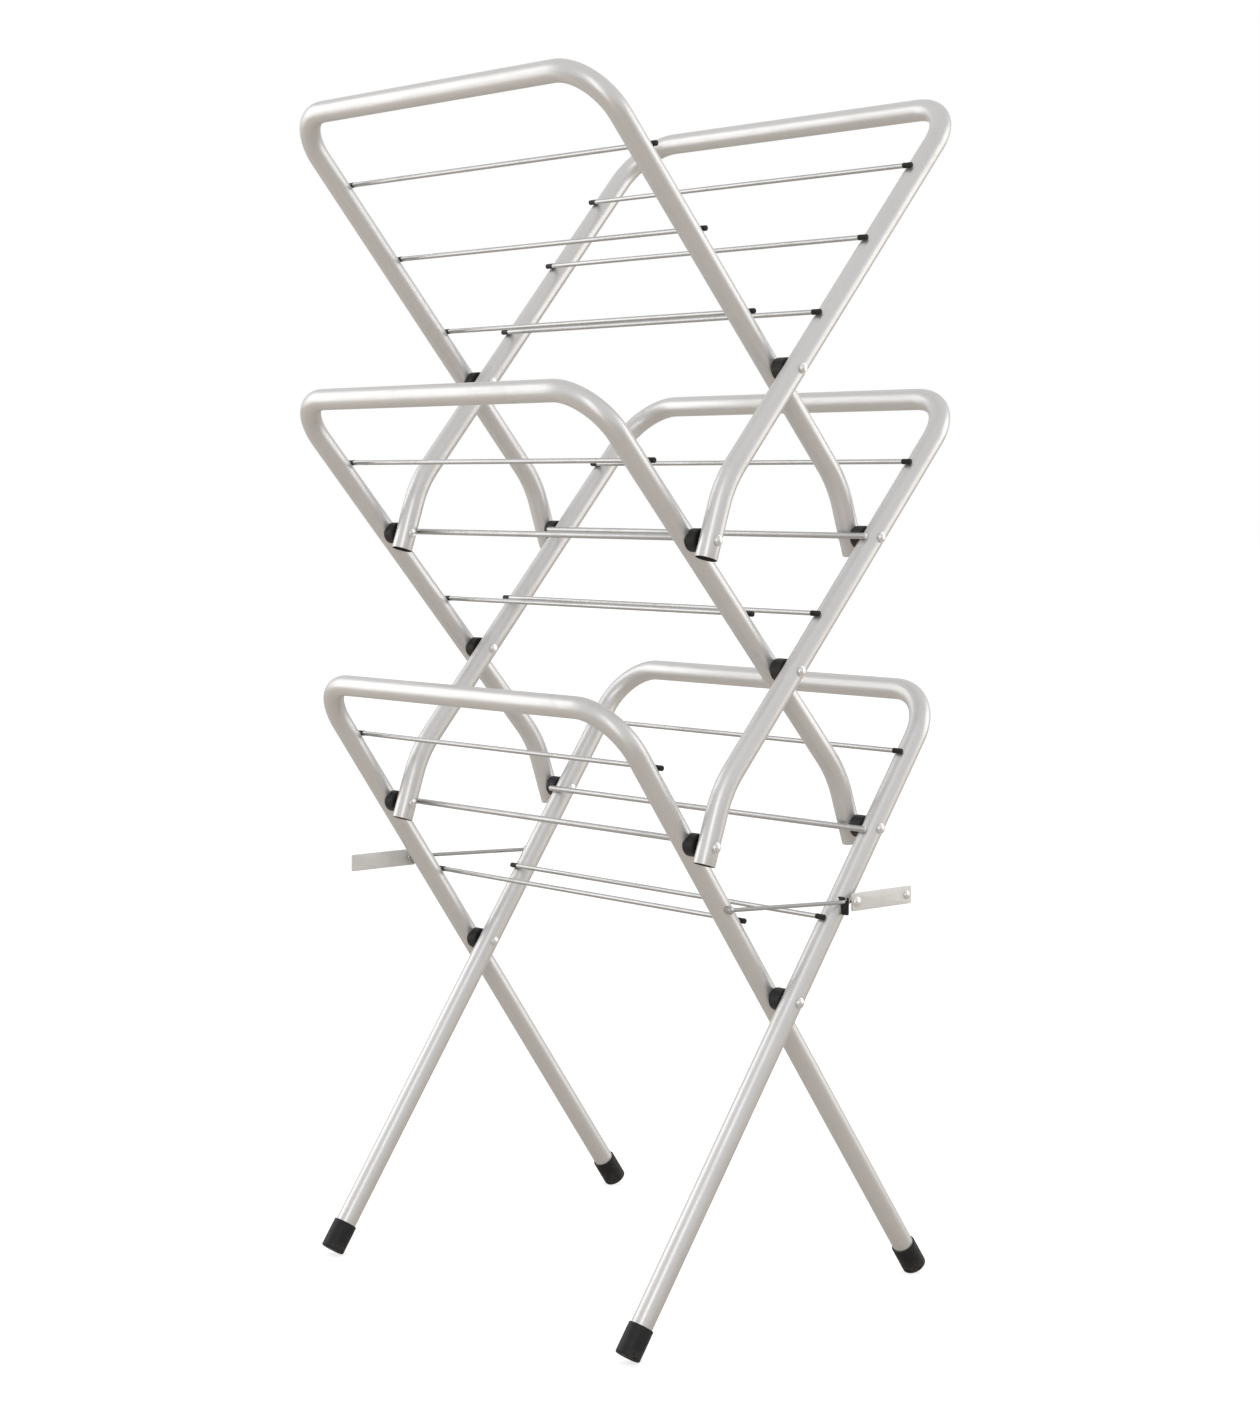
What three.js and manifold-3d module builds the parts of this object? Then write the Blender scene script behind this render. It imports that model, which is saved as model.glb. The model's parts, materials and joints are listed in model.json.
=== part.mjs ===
// Three-tier folding clothes drying rack, shown open.
// Millimetres, Z up. X runs along the bars, the front is -Y and the rear is +Y.
// The origin is on the floor, at the middle of the rack.
// A "rear" frame has its top bar at the rear; a "front" frame is the same frame turned half a turn about Z.
import * as THREE from 'three';
import { mergeVertices } from 'three/addons/utils/BufferGeometryUtils.js';
import Module from 'manifold-3d';

const wasm = await Module();
wasm.setup();

// Tube frames.
const tubeRadius = 12.5;
const tubeWall = 0.8;
const tubeSides = 12;
const legSpacing = 550;
const frameShift = 38;
const bendRadius = 62;
const bendSteps = 5;
const openAngle = 34.5;

// Tier sizes along a leg, measured from the crossing.
const lowUpper = 408;
const lowLower = 431;
const lowRods = [318, 214, 100];
const lowPin = 225;
const topUpper = 403;
const topRods = [292, 181, 69];
const midPin = 192.5;
const tailKink = 164;
const tailKinkRadius = 130;
const tailPin = 225;
const tailPinTurn = 6.2;
const tailEnd = 20.5;

// Rods, rivets, spacers and caps.
const rodRadius = 3;
const rodSides = 10;
const rodCap = 3.3;
const rodCapLength = 12;
const rodPast = 7;
const stopRadius = 3.5;
const holeSides = 8;
const eyePin = 2.5;
const rivetFit = 0.4;
const rivetRadius = 3;
const rivetHead = 6;
const rivetRise = 3.2;
const looseFit = 1.9;
const spacerRadius = 14;
const spacerLip = 4;
const gap = 0.3;
const capRadius = 14.5;
const capLength = 36;
const capFloor = 4;
const floorFlat = 1.2;

// Locking stays.
const stayPivot = 131;
const stayWire = 2.4;
const stayStand = 5.6;
const strapLength = 96;
const strapHeight = 20.5;
const strapThick = 2.4;
const strapStart = 72;
const catchWide = 4.6;
const catchAhead = 8;

const rad = THREE.MathUtils.degToRad;
const halfSpan = legSpacing / 2;
const outerX = halfSpan + frameShift / 2;
const innerX = -halfSpan + frameShift / 2;
const outerFace = outerX + tubeRadius;

// Pin position below a crossing, and the lean of each tier.
const lowLean = rad(openAngle);
const midLean = lowLean + rad(tailPinTurn);
const topChord = Math.asin(midPin * Math.sin(midLean) / tailPin);
const topLean = topChord + rad(tailPinTurn);

// Crossing heights, stacked up from the floor.
const lowCross = lowLower * Math.cos(lowLean) + capRadius * Math.sin(lowLean) - floorFlat;
const midCross = lowCross + (lowPin + tailPin) * Math.cos(lowLean);
const topCross = midCross + midPin * Math.cos(midLean) + tailPin * Math.cos(topChord);

const tiers = {
  low: { cross: lowCross, lean: lowLean, upper: lowUpper, rods: lowRods, pin: lowPin },
  mid: { cross: midCross, lean: midLean, upper: topUpper, rods: topRods, pin: midPin },
  top: { cross: topCross, lean: topLean, upper: topUpper, rods: topRods },
};

// Point on the straight part of a rear frame's leg, a distance up from its crossing.
function onLeg(tier, distance, x) {
  const y = distance * Math.sin(tier.lean);
  const z = tier.cross + distance * Math.cos(tier.lean);
  return new THREE.Vector3(x, y, z);
}

// Centre of a rod of the given radius that lies across a rear frame's inner face, against both legs.
function onRods(tier, distance, radius) {
  const off = tubeRadius + gap + radius;
  const face = new THREE.Vector3(0, -Math.cos(tier.lean), Math.sin(tier.lean));
  return onLeg(tier, distance, 0).addScaledVector(face, off);
}

// The tail below the kink: its angle, its pin and its open end.
function tailPoints(tier, x) {
  const kink = onLeg(tier, -tailKink, x);
  const chord = tier.lean - rad(tailPinTurn);
  const pin = new THREE.Vector3(x, -tailPin * Math.sin(chord), tier.cross - tailPin * Math.cos(chord));
  const way = pin.clone().sub(kink).normalize();
  const end = pin.clone().addScaledVector(way, tailEnd);
  return { kink, pin, end };
}

// Replaces the corner at b by an arc of the given radius, as a list of points.
function roundCorner(a, b, c, radius, steps) {
  const back = a.clone().sub(b).normalize();
  const onward = c.clone().sub(b).normalize();
  const half = back.angleTo(onward) / 2;
  const reach = radius / Math.tan(half);
  const centre = b.clone().addScaledVector(back.clone().add(onward).normalize(), radius / Math.sin(half));
  const start = b.clone().addScaledVector(back, reach).sub(centre);
  const stop = b.clone().addScaledVector(onward, reach).sub(centre);
  const turn = start.angleTo(stop);
  const points = [];
  for (let i = 0; i <= steps; i += 1) {
    const t = i / steps;
    const p = start.clone().multiplyScalar(Math.sin((1 - t) * turn) / Math.sin(turn));
    p.addScaledVector(stop, Math.sin(t * turn) / Math.sin(turn));
    points.push(p.add(centre));
  }
  return points;
}

// A path whose steps fall exactly on the listed points.
class ListedPath extends THREE.Curve {
  constructor(points) {
    super();
    this.points = points;
  }

  getPointAt(u) {
    return this.points[Math.round(u * (this.points.length - 1))].clone();
  }

  getPoint(u) {
    return this.getPointAt(u);
  }

  getSpacedPoints() {
    return this.points.map((p) => p.clone());
  }

  getTangentAt(u) {
    const last = this.points.length - 1;
    const i = Math.round(u * last);
    const before = this.points[Math.max(i - 1, 0)];
    const after = this.points[Math.min(i + 1, last)];
    const here = this.points[i];
    const into = here.clone().sub(before).normalize();
    const out = after.clone().sub(here).normalize();
    return into.add(out).normalize();
  }
}

// Regular polygon outline.
function ring(radius, sides) {
  const points = [];
  for (let i = 0; i < sides; i += 1) {
    const a = 2 * Math.PI * (i + 0.5) / sides;
    points.push(new THREE.Vector2(radius * Math.cos(a), radius * Math.sin(a)));
  }
  return points;
}

// Turns a geometry into a solid, welding its corners and dropping empty triangles.
function toSolid(geometry) {
  const bare = new THREE.BufferGeometry();
  bare.setAttribute('position', geometry.getAttribute('position'));
  if (geometry.index) bare.setIndex(geometry.index);
  const welded = mergeVertices(bare, 1e-4);
  const index = welded.index.array;
  const kept = [];
  for (let i = 0; i < index.length; i += 3) {
    const [a, b, c] = [index[i], index[i + 1], index[i + 2]];
    if (a !== b && b !== c && c !== a) kept.push(a, b, c);
  }
  const positions = new Float32Array(welded.getAttribute('position').array);
  const mesh = new wasm.Mesh({ numProp: 3, vertProperties: positions, triVerts: new Uint32Array(kept) });
  return new wasm.Manifold(mesh);
}

// Turns a solid back into a geometry.
function toGeometry(solid) {
  const mesh = solid.getMesh();
  const geometry = new THREE.BufferGeometry();
  geometry.setAttribute('position', new THREE.BufferAttribute(new Float32Array(mesh.vertProperties), 3));
  geometry.setIndex(new THREE.BufferAttribute(new Uint32Array(mesh.triVerts), 1));
  geometry.computeVertexNormals();
  return geometry;
}

// A tube or bar swept along listed points.
function sweep(points, radius, sides, bore) {
  const shape = new THREE.Shape(ring(radius, sides));
  if (bore > 0) shape.holes.push(new THREE.Path(ring(bore, sides)));
  const path = new ListedPath(points);
  const geometry = new THREE.ExtrudeGeometry(shape, { steps: points.length - 1, extrudePath: path });
  return toSolid(geometry);
}

// A turned piece on an axis along X through (y, z); the profile lists [x, radius].
function turned(profile, y, z, sides) {
  const points = profile.map(([x, r]) => new THREE.Vector2(r, x));
  const geometry = new THREE.LatheGeometry(points, sides);
  geometry.rotateZ(-Math.PI / 2);
  geometry.translate(0, y, z);
  return toSolid(geometry);
}

// A round bar along X from x0 to x1.
function barX(x0, x1, radius, y, z, sides) {
  return turned([[x0, 0], [x0, radius], [x1, radius], [x1, 0]], y, z, sides);
}

// A straight round bar between two points.
function barBetween(a, b, radius, sides) {
  return sweep([a, b], radius, sides, 0);
}

// A rectangular block given by its low and high corners.
function block(low, high) {
  const size = high.clone().sub(low);
  const geometry = new THREE.BoxGeometry(size.x, size.y, size.z);
  const middle = low.clone().add(high).multiplyScalar(0.5);
  geometry.translate(middle.x, middle.y, middle.z);
  return toSolid(geometry);
}

// Centreline of a whole rear frame, from one lower end to the other.
function frameLine(name) {
  const tier = tiers[name];
  const nearTop = onLeg(tier, tier.upper, outerX);
  const farTop = onLeg(tier, tier.upper, innerX);
  const leg = (x) => {
    if (name === 'low') return [onLeg(tier, -lowLower + capFloor + gap, x)];
    const tail = tailPoints(tier, x);
    return [tail.end, ...roundCorner(tail.end, tail.kink, onLeg(tier, 0, x), tailKinkRadius, 2)];
  };
  const far = leg(innerX);
  const near = leg(outerX).reverse();
  const farBend = roundCorner(far[far.length - 1], farTop, nearTop, bendRadius, bendSteps);
  const nearBend = roundCorner(farTop, nearTop, near[0], bendRadius, bendSteps);
  return [...far, ...farBend, ...nearBend, ...near];
}

// One bent tube with the holes its rivets and pins pass through.
function frameSolid(name) {
  const tier = tiers[name];
  let solid = sweep(frameLine(name), tubeRadius, tubeSides, tubeRadius - tubeWall);
  const drill = (x0, x1, radius, point) => {
    solid = solid.subtract(barX(x0, x1, radius, point.y, point.z, holeSides));
  };
  const reach = tubeRadius + 2;
  const drillBoth = (radius, point) => {
    drill(outerX - reach, outerX + reach, radius, point);
    drill(innerX - reach, innerX + reach, radius, point);
  };
  const crossing = onLeg(tier, 0, 0);
  drill(outerX - reach, outerX + reach, rivetRadius + rivetFit, crossing);
  drill(innerX - reach, innerX + reach, rivetRadius + looseFit, crossing);
  if (name !== 'top') drillBoth(rivetRadius + rivetFit, onLeg(tier, tier.pin, 0));
  if (name === 'low') {
    drill(innerX - reach, innerX, eyePin + rivetFit, onLeg(tier, stayPivot, 0));
  } else {
    drillBoth(rivetRadius + rivetFit + 0.2, tailPoints(tier, 0).pin);
  }
  return solid;
}

// True for the thicker bare bars that the tails of the tier above rest behind.
function isStopBar(name, number) {
  return name !== 'top' && number === 1;
}

// Profile of a hanging rod: a plain bar with a slightly thicker cap over each end, or a bare stop bar.
function rodProfile(isStop) {
  const left = innerX - rodPast;
  const right = outerX + rodPast;
  if (isStop) return [[left, 0], [left, stopRadius], [right, stopRadius], [right, 0]];
  return [
    [left, 0], [left, rodCap], [left + rodCapLength, rodCap], [left + rodCapLength, rodRadius],
    [right - rodCapLength, rodRadius], [right - rodCapLength, rodCap], [right, rodCap], [right, 0],
  ];
}

// A rivet through both tubes on the near side: a low head inside and a dome outside.
function nearRivet(y, z) {
  const left = halfSpan - frameShift / 2 - tubeRadius - gap;
  const right = outerX + tubeRadius + gap;
  const profile = [
    [left - 1.6, 0], [left - 1.6, rivetHead * 0.8], [left, rivetHead], [left, rivetRadius],
    [right, rivetRadius], [right, rivetHead],
    [right + rivetRise * 0.7, rivetHead * 0.7], [right + rivetRise, 0],
  ];
  return turned(profile, y, z, 10);
}

// The pin that carries the tier above: a rivet with its spacer, on the near or far side of a rear frame.
function carryingPin(tier, isNear) {
  const point = onLeg(tier, tier.pin, 0);
  const rivet = nearRivet(point.y, point.z);
  const spacerRing = spacer(tier, tier.pin, isNear ? outerX : innerX, rivetRadius - 0.5);
  return spacerRing.add(isNear ? rivet : rivet.mirror([1, 0, 0]));
}

// A spacer on the -X side of the tube that carries it: it cups that tube and ends flat against the other one.
function spacer(tier, distance, carrierX, boreRadius) {
  const point = onLeg(tier, distance, 0);
  const flat = carrierX - (frameShift - tubeRadius - gap);
  const lip = carrierX - (tubeRadius - spacerLip);
  const disc = barX(flat, lip, spacerRadius, point.y, point.z, 16);
  const a = onLeg(tier, distance - 60, carrierX);
  const b = onLeg(tier, distance + 60, carrierX);
  const tube = barBetween(a, b, tubeRadius + gap, 16);
  const bore = barX(flat - 1, lip + 1, boreRadius, point.y, point.z, holeSides);
  return disc.subtract(tube).subtract(bore);
}

// A foot cap: a closed cup on the leg's end, with a small flat where it meets the floor.
function footCap(x) {
  const tier = tiers.low;
  const foot = onLeg(tier, -lowLower, x);
  const rim = onLeg(tier, -lowLower + capLength, x);
  const inside = onLeg(tier, -lowLower + capFloor, x);
  const mouth = onLeg(tier, -lowLower + capLength + 5, x);
  const cup = barBetween(foot, rim, capRadius, 20).subtract(barBetween(inside, mouth, tubeRadius + gap, 20));
  const low = new THREE.Vector3(x - 40, foot.y - 60, -20);
  const high = new THREE.Vector3(x + 40, foot.y + 60, 0);
  return cup.subtract(block(low, high));
}

// The far locking stay's wire: a pivot pin, a round eye and a straight wire that slants outward.
function stayWireSolid() {
  const tier = tiers.low;
  const pivot = onLeg(tier, stayPivot, 0);
  const face = innerX - tubeRadius - gap;
  const profile = [
    [face - 6.4, 0], [face - 5.4, 3.8], [face - 3.6, 5], [face, 5],
    [face, eyePin], [innerX - 2, eyePin], [innerX - 2, 0],
  ];
  const eye = turned(profile, pivot.y, pivot.z, 12);
  const start = new THREE.Vector3(face - 2.6, pivot.y, pivot.z);
  const rest = new THREE.Vector3(-outerFace - stayStand, -pivot.y, pivot.z);
  const end = new THREE.Vector3(-outerFace - stayStand, -strapStart - 14, pivot.z);
  const over = rest.clone().add(new THREE.Vector3(0, 16, 0));
  return eye.add(sweep([start, over, end], stayWire, holeSides, 0));
}

// The flat grip strap riveted to the end of the far stay's wire.
function stayStrapSolid() {
  const z = onLeg(tiers.low, stayPivot, 0).z;
  const back = -outerFace - stayStand - stayWire - gap;
  const low = new THREE.Vector3(back - strapThick, -strapStart - strapLength, z - 11);
  const high = new THREE.Vector3(back, -strapStart, z - 11 + strapHeight);
  const mid = (low.z + high.z) / 2;
  const dome = (y, radius) => turned([
    [low.x - 2.6, 0], [low.x - 1.9, radius * 0.7], [low.x, radius], [high.x - 1, radius], [high.x - 1, 0],
  ], y, mid, 12);
  return block(low, high).add(dome(-strapStart - 7, 6)).add(dome(low.y + 8, 5));
}

// The catch on the near leg that the near stay's wire drops into.
function stayCatch() {
  const tier = tiers.low;
  const rest = onLeg(tier, stayPivot, 0);
  const middle = rest.y - catchAhead;
  const low = new THREE.Vector3(outerX, middle - catchWide / 2, rest.z - 15);
  const high = new THREE.Vector3(outerFace + stayStand + 3.8, middle + catchWide / 2, rest.z + 5);
  const body = block(low, high);
  const tube = barBetween(onLeg(tier, 40, outerX), onLeg(tier, 220, outerX), tubeRadius + gap, 20);
  const rail = outerFace + stayStand;
  const slotLow = new THREE.Vector3(rail - stayWire - gap, middle - 9, rest.z - stayWire - 0.6);
  const slotHigh = new THREE.Vector3(rail + stayWire + gap, middle + 9, rest.z + 9);
  const cut = body.subtract(tube).subtract(block(slotLow, slotHigh));
  const parts = cut.decompose();
  return parts.reduce((best, part) => (part.volume() > best.volume() ? part : best));
}

const steelPaint = { color: 0xc9c6c1, metalness: 0.45, roughness: 0.42 };
const brightWire = { color: 0xd8d8d8, metalness: 0.9, roughness: 0.25 };
const blackPlastic = { color: 0x1c1c1e, metalness: 0.0, roughness: 0.55 };
const greyStrap = { color: 0xcdccc6, metalness: 0.3, roughness: 0.5 };

const group = new THREE.Group();
group.name = 'drying_rack';

function place(name, solid, look) {
  const mesh = new THREE.Mesh(toGeometry(solid), new THREE.MeshStandardMaterial(look));
  mesh.name = name;
  group.add(mesh);
}

// Adds a rear piece and its half-turn twin for the front frame.
function placePair(rearName, frontName, solid, look) {
  place(rearName, solid, look);
  place(frontName, solid.rotate([0, 0, 180]), look);
}

Object.keys(tiers).forEach((name) => {
  const tier = tiers[name];
  placePair(`${name}_rear_frame`, `${name}_front_frame`, frameSolid(name), steelPaint);
  tier.rods.forEach((distance, number) => {
    const isStop = isStopBar(name, number);
    const point = onRods(tier, distance, isStop ? stopRadius : rodCap);
    const rod = turned(rodProfile(isStop), point.y, point.z, rodSides);
    placePair(`${name}_rear_rod_${number + 1}`, `${name}_front_rod_${number + 1}`, rod, brightWire);
  });
  placePair(`${name}_near_rivet`, `${name}_far_rivet`, nearRivet(0, tier.cross), brightWire);
  const crossSpacer = spacer(tier, 0, outerX, rivetRadius + rivetFit);
  placePair(`${name}_near_spacer`, `${name}_far_spacer`, crossSpacer, blackPlastic);
  if (name === 'top') return;
  placePair(`${name}_rear_pin_near`, `${name}_front_pin_far`, carryingPin(tier, true), blackPlastic);
  placePair(`${name}_rear_pin_far`, `${name}_front_pin_near`, carryingPin(tier, false), blackPlastic);
});

placePair('foot_cap_front_near', 'foot_cap_rear_far', footCap(outerX), blackPlastic);
placePair('foot_cap_front_far', 'foot_cap_rear_near', footCap(innerX), blackPlastic);
placePair('stay_far_wire', 'stay_near_wire', stayWireSolid(), brightWire);
placePair('stay_far_strap', 'stay_near_strap', stayStrapSolid(), greyStrap);
placePair('stay_near_catch', 'stay_far_catch', stayCatch(), blackPlastic);

export default group;
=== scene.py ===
import json
import math

import bpy
import numpy as np
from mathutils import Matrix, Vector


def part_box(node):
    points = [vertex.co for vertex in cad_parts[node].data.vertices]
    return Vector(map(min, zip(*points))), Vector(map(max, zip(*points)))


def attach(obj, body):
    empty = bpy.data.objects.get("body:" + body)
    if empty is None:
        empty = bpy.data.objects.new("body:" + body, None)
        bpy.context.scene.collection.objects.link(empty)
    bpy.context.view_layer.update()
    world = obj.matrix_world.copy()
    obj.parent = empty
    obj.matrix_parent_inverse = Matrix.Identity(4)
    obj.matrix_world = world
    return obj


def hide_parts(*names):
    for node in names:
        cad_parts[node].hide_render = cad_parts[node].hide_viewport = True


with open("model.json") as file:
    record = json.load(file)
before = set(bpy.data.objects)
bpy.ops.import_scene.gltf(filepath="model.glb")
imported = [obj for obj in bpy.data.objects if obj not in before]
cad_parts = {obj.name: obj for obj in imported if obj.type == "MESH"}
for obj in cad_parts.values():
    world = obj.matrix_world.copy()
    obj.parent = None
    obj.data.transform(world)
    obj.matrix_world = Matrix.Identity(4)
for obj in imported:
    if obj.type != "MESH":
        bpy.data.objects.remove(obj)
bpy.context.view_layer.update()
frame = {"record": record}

bodyOf = {node: body for body, names in frame["record"]["behaviour"]["bodies"].items() for node in names}


# v / |v|, for one vector or for rows of them
def unit(v):
    v = np.asarray(v, float)
    return v / np.linalg.norm(v, axis=-1, keepdims=True)


def lowHigh(node):
    low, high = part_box(node)
    return np.array(low), np.array(high)


def centreOf(node):
    low, high = lowHigh(node)
    return (low + high) / 2


# ---- surfaces ----

# arc in place of the corner at b: its ends lie radius / tan(half) from b, its centre radius / sin(half)
# along the bisector, and the points turn evenly: (first sin((1-t)w) + last sin(tw)) / sin w
def cornerArc(a, b, c, radius, steps):
    if radius == 0:
        return b[None]
    back, onward = unit(a - b), unit(c - b)
    half = math.acos(np.clip(back @ onward, -1, 1)) / 2
    centre = b + unit(back + onward) * radius / math.sin(half)
    first = b + back * radius / math.tan(half) - centre
    last = b + onward * radius / math.tan(half) - centre
    turn = math.pi - 2 * half
    t = np.linspace(0, 1, steps + 1)[:, None]
    return centre + (first * np.sin((1 - t) * turn) + last * np.sin(t * turn)) / math.sin(turn)


# path through corners with arcs at the inner ones; straight runs are cut in equal steps a + (b - a) t
def roundedPath(corners, radii, arcSteps=5, runStep=1.0):
    corners = [np.asarray(p, float) for p in corners]
    rows = [corners[0][None]]
    for i in range(1, len(corners)):
        inner = i < len(corners) - 1
        arc = cornerArc(corners[i - 1], corners[i], corners[i + 1], radii[i - 1], arcSteps) if inner \
            else corners[i][None]
        a, b = rows[-1][-1], arc[0]
        count = max(1, round(float(np.linalg.norm(b - a)) / runStep))
        t = np.linspace(0, 1, count + 1)[1:-1, None]
        rows += [a + (b - a) * t, arc]
    return np.concatenate(rows)


# rings round a path: p(s, a) = path(s) + radius(s) (U cos a + S sin a), where T is the tangent,
# U the reference made square to T, and S = T x U
def ringsAlong(path, radii, reference, sides):
    step = unit(np.diff(path, axis=0))
    tangent = unit(np.concatenate([step[:1], step[:-1] + step[1:], step[-1:]]))
    up = unit(reference - (tangent @ reference)[:, None] * tangent)
    side = np.cross(tangent, up)
    a = np.linspace(0, 2 * math.pi, sides, endpoint=False)[None, :, None]
    spoke = up[:, None] * np.cos(a) + side[:, None] * np.sin(a)
    return path[:, None] + spoke * np.broadcast_to(radii, len(path))[:, None, None]


# quads between the rows of a grid closed round its columns, and round its rows too if asked
def gridFaces(rows, columns, closeRows=False):
    r = np.arange(rows if closeRows else rows - 1)[:, None]
    c = np.arange(columns)[None]
    here, above, nextC = r * columns, (r + 1) % rows * columns, (c + 1) % columns
    quads = np.stack([here + c, here + nextC, above + nextC, above + c], -1)
    return quads.reshape(-1, 4).tolist()


# a grid of rings closed at both ends by a fan to the middle of the end ring
def closedGrid(grid):
    rows, columns = grid.shape[:2]
    points = np.concatenate([grid.reshape(-1, 3), grid[:1].mean(1), grid[-1:].mean(1)])
    c = np.arange(columns)
    nextC, lastRow, pole = (c + 1) % columns, (rows - 1) * columns, rows * columns
    first = np.stack([np.full(columns, pole), nextC, c], -1).tolist()
    last = np.stack([np.full(columns, pole + 1), lastRow + c, lastRow + nextC], -1).tolist()
    return points, gridFaces(rows, columns) + first + last


# turned piece on an axis along X: p(i, a) = (x_i, y + r_i cos a, z + r_i sin a)
def turned(profile, centre, sides):
    x, r = np.asarray(profile, float).T
    path = np.stack([x, np.full(len(x), centre[1]), np.full(len(x), centre[2])], -1)
    a = np.linspace(0, 2 * math.pi, sides, endpoint=False)
    spoke = np.stack([np.zeros(sides), np.cos(a), np.sin(a)], -1)
    return closedGrid(path[:, None] + spoke[None] * r[:, None, None])


# several shapes as one mesh: faces of later shapes count on from the points of the earlier ones
def joined(*shapes):
    points, faces, start = [], [], 0
    for shapePoints, shapeFaces in shapes:
        points.append(shapePoints)
        faces += [[i + start for i in face] for face in shapeFaces]
        start += len(shapePoints)
    return np.concatenate(points), faces


# half a turn about Z: (x, y, z) becomes (-x, -y, z)
def halfTurn(shape):
    return shape[0] * (-1, -1, 1), shape[1]


# puts a shape into the scene for a CAD node: smooth, with edges over sharp degrees kept crisp
def addPiece(node, shape, materials, slotPick=None, along=None, sharp=35):
    points, faces = shape
    words = node.split("_")
    mesh = bpy.data.meshes.new(words[0] + "".join(w.capitalize() for w in words[1:]))
    mesh.from_pydata(np.asarray(points, float).tolist(), [], faces)
    for material in materials:
        mesh.materials.append(material)
    if slotPick is not None:
        middles = np.empty(len(mesh.polygons) * 3)
        mesh.polygons.foreach_get("center", middles)
        mesh.polygons.foreach_set("material_index", slotPick(middles.reshape(-1, 3)).astype(np.int32))
    if along is not None:
        mesh.attributes.new("along", "FLOAT_VECTOR", "POINT").data.foreach_set("vector", along.ravel())
    mesh.polygons.foreach_set("use_smooth", np.ones(len(mesh.polygons), bool))
    mesh.set_sharp_from_angle(angle=math.radians(sharp))
    piece = bpy.data.objects.new(mesh.name, mesh)
    bpy.context.scene.collection.objects.link(piece)
    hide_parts(node)
    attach(piece, bodyOf[node])
    return piece


# ---- effects shared by the finishes ----

def newGroup(name, inputs, outputs):
    tree = bpy.data.node_groups.new(name, "ShaderNodeTree")
    for label, kind, value in inputs:
        socket = tree.interface.new_socket(label, in_out="INPUT", socket_type=kind)
        if value is not None:
            socket.default_value = value
    for label, kind in outputs:
        tree.interface.new_socket(label, in_out="OUTPUT", socket_type=kind)
    return tree, tree.nodes.new("NodeGroupInput").outputs, tree.nodes.new("NodeGroupOutput").inputs


# a node with its settings and its inputs, each input a number, a colour or an output to link
def addNode(tree, kind, inputs=None, **settings):
    node = tree.nodes.new("ShaderNode" + kind)
    for key, value in settings.items():
        setattr(node, key, value)
    for key, value in (inputs or {}).items():
        if isinstance(value, bpy.types.NodeSocket):
            tree.links.new(value, node.inputs[key])
        else:
            node.inputs[key].default_value = value
    return node


# value spread from (low, high) to (outLow, outHigh), held at the ends
def spread(tree, value, low, high, outLow=0.0, outHigh=1.0):
    return addNode(tree, "MapRange", {"Value": value, "From Min": low, "From Max": high,
                                      "To Min": outLow, "To Max": outHigh}).outputs["Result"]


def maths(tree, operation, a, b):
    return addNode(tree, "Math", {0: a, 1: b}, operation=operation).outputs[0]


# fine skin of a coating or a moulding: two noises of different size added up
def buildSkinGroup():
    tree, given, result = newGroup(
        "surfaceSkin",
        [("Vector", "NodeSocketVector", None), ("Scale", "NodeSocketFloat", 900.0),
         ("Coarse", "NodeSocketFloat", 0.35)],
        [("Height", "NodeSocketFloat"), ("Speck", "NodeSocketFloat")])
    fine = addNode(tree, "TexNoise", {"Vector": given["Vector"], "Scale": given["Scale"], "Detail": 2.0})
    small = maths(tree, "MULTIPLY", given["Scale"], 0.22)
    broad = addNode(tree, "TexNoise", {"Vector": given["Vector"], "Scale": small, "Detail": 1.0})
    lifted = maths(tree, "MULTIPLY", broad.outputs["Fac"], given["Coarse"])
    tree.links.new(maths(tree, "ADD", fine.outputs["Fac"], lifted), result["Height"])
    tree.links.new(spread(tree, fine.outputs["Fac"], 0.42, 0.62), result["Speck"])
    return tree


# lines drawn along a piece: noise squeezed by Stretch along the third axis of its vector
def buildStreakGroup():
    tree, given, result = newGroup(
        "drawnStreaks",
        [("Vector", "NodeSocketVector", None), ("Scale", "NodeSocketFloat", 500.0),
         ("Stretch", "NodeSocketFloat", 0.02)],
        [("Height", "NodeSocketFloat"), ("Mask", "NodeSocketFloat")])
    squeeze = addNode(tree, "CombineXYZ", {"X": 1.0, "Y": 1.0, "Z": given["Stretch"]})
    drawn = addNode(tree, "VectorMath", {0: given["Vector"], 1: squeeze.outputs[0]}, operation="MULTIPLY")
    lines = addNode(tree, "TexNoise", {"Vector": drawn.outputs[0], "Scale": given["Scale"], "Detail": 2.5,
                                       "Roughness": 0.6})
    tree.links.new(lines.outputs["Fac"], result["Height"])
    tree.links.new(spread(tree, lines.outputs["Fac"], 0.35, 0.65), result["Mask"])
    return tree


# smudges and rubbed patches from handling: a wide noise cut by a finer one
def buildHandlingGroup():
    tree, given, result = newGroup(
        "handlingMarks",
        [("Vector", "NodeSocketVector", None), ("Scale", "NodeSocketFloat", 14.0),
         ("Amount", "NodeSocketFloat", 0.5)],
        [("Mask", "NodeSocketFloat")])
    wide = addNode(tree, "TexNoise", {"Vector": given["Vector"], "Scale": given["Scale"], "Detail": 3.0})
    times = maths(tree, "MULTIPLY", given["Scale"], 9.0)
    fine = addNode(tree, "TexNoise", {"Vector": given["Vector"], "Scale": times, "Detail": 2.0})
    patch = maths(tree, "MULTIPLY", spread(tree, wide.outputs["Fac"], 0.48, 0.72),
                  spread(tree, fine.outputs["Fac"], 0.3, 0.65))
    tree.links.new(maths(tree, "MULTIPLY", patch, given["Amount"]), result["Mask"])
    return tree


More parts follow.
